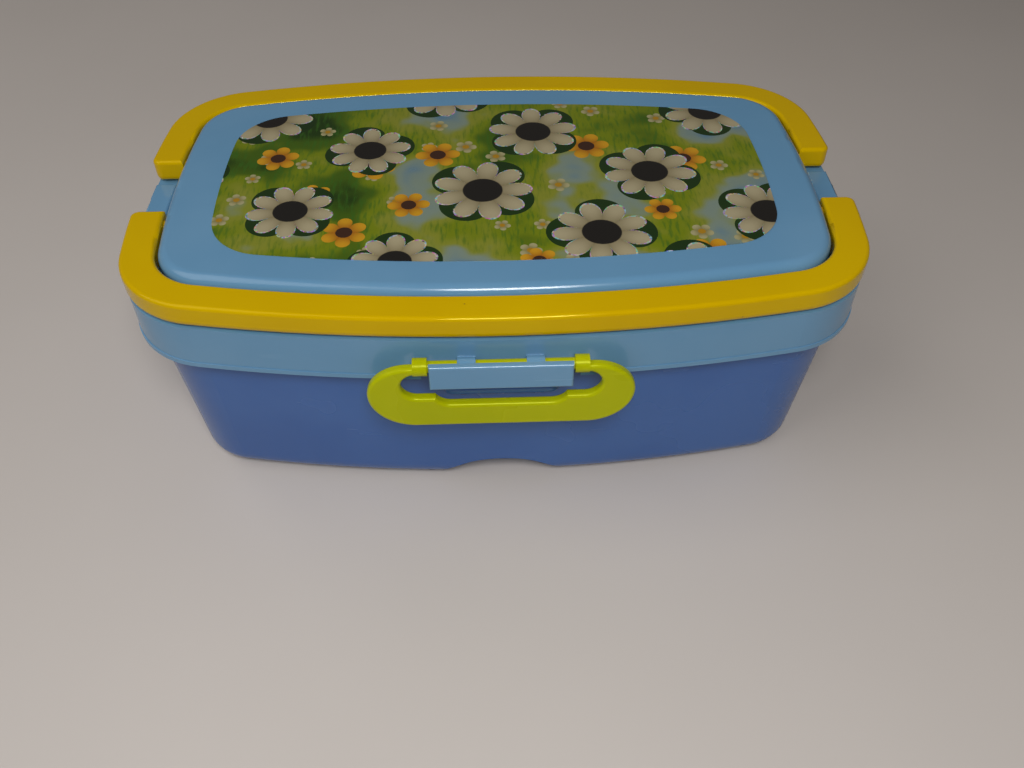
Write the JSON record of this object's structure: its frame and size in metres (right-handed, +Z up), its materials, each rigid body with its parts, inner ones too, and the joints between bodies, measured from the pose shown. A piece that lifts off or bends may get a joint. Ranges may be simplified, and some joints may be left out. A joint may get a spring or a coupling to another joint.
{
  "type": "bento lunch box",
  "caption": "Rounded rectangular lunch box with a tapered tub, lift-out divided tray, lid with swing handles and raised cover, and hinged latch loops on its long sides.",
  "frame": {"origin": "under the middle of the base, on the surface that the box stands on", "axes": "+X along the length to the right seen from the front, +Y to the rear, +Z up; the pictured front faces -Y"},
  "size_m": [0.22, 0.144, 0.0807],
  "materials": {
    "tub_plastic": "glossy royal blue",
    "tray_plastic": "satin pale grey blue",
    "cutlery_plastic": "glossy yellow",
    "lid_plastic": "glossy light blue",
    "seal_rubber": "matte off white",
    "printed_film": "printed film with small flowers",
    "handle_plastic": "glossy yellow",
    "latch_plastic": "glossy slightly translucent lime"
  },
  "bodies": {
    "tub": {"tub": "tub_plastic"},
    "tray": {"inner_tray": "tray_plastic"},
    "spoon": {"spoon": "cutlery_plastic"},
    "fork": {"fork": "cutlery_plastic"},
    "lid": {"lid": "lid_plastic", "lid_seal": "seal_rubber", "top_cover": "lid_plastic", "top_sticker": "printed_film"},
    "front_handle": {"front_handle": "handle_plastic"},
    "rear_handle": {"rear_handle": "handle_plastic"},
    "front_latch": {"front_latch": "latch_plastic"},
    "rear_latch": {"rear_latch": "latch_plastic"}
  },
  "joints": [
    {"name": "lid_lift", "type": "slide", "parent": "tub", "child": "lid", "axis": [0, 0, 1], "range_m": [0, 0.16]},
    {"name": "tray_lift", "type": "slide", "parent": "tub", "child": "tray", "axis": [0, 0, 1], "range_m": [0, 0.08]},
    {"name": "spoon_lift", "type": "slide", "parent": "tray", "child": "spoon", "axis": [0, 0, 1], "range_m": [0, 0.024]},
    {"name": "fork_lift", "type": "slide", "parent": "tray", "child": "fork", "axis": [0, 0, 1], "range_m": [0, 0.04]},
    {"name": "front_handle_swing", "type": "hinge", "parent": "lid", "child": "front_handle", "pos_m": [0, -0.0164, 0.0753], "axis": [-1, 0, 0], "range_deg": [0, 104]},
    {"name": "rear_handle_swing", "type": "hinge", "parent": "lid", "child": "rear_handle", "pos_m": [0, 0.0164, 0.0753], "axis": [1, 0, 0], "range_deg": [0, 104]},
    {"name": "front_latch_swing", "type": "hinge", "parent": "lid", "child": "front_latch", "pos_m": [0, -0.0683, 0.0647], "axis": [-1, 0, 0], "range_deg": [0, 120]},
    {"name": "rear_latch_swing", "type": "hinge", "parent": "lid", "child": "rear_latch", "pos_m": [0, 0.0683, 0.0647], "axis": [1, 0, 0], "range_deg": [0, 120]}
  ],
  "couplings": [
    {"joint": "tray_lift", "follows": "lid_lift", "ratio": 0.5},
    {"joint": "spoon_lift", "follows": "lid_lift", "ratio": 0.15},
    {"joint": "fork_lift", "follows": "lid_lift", "ratio": 0.25}
  ]
}
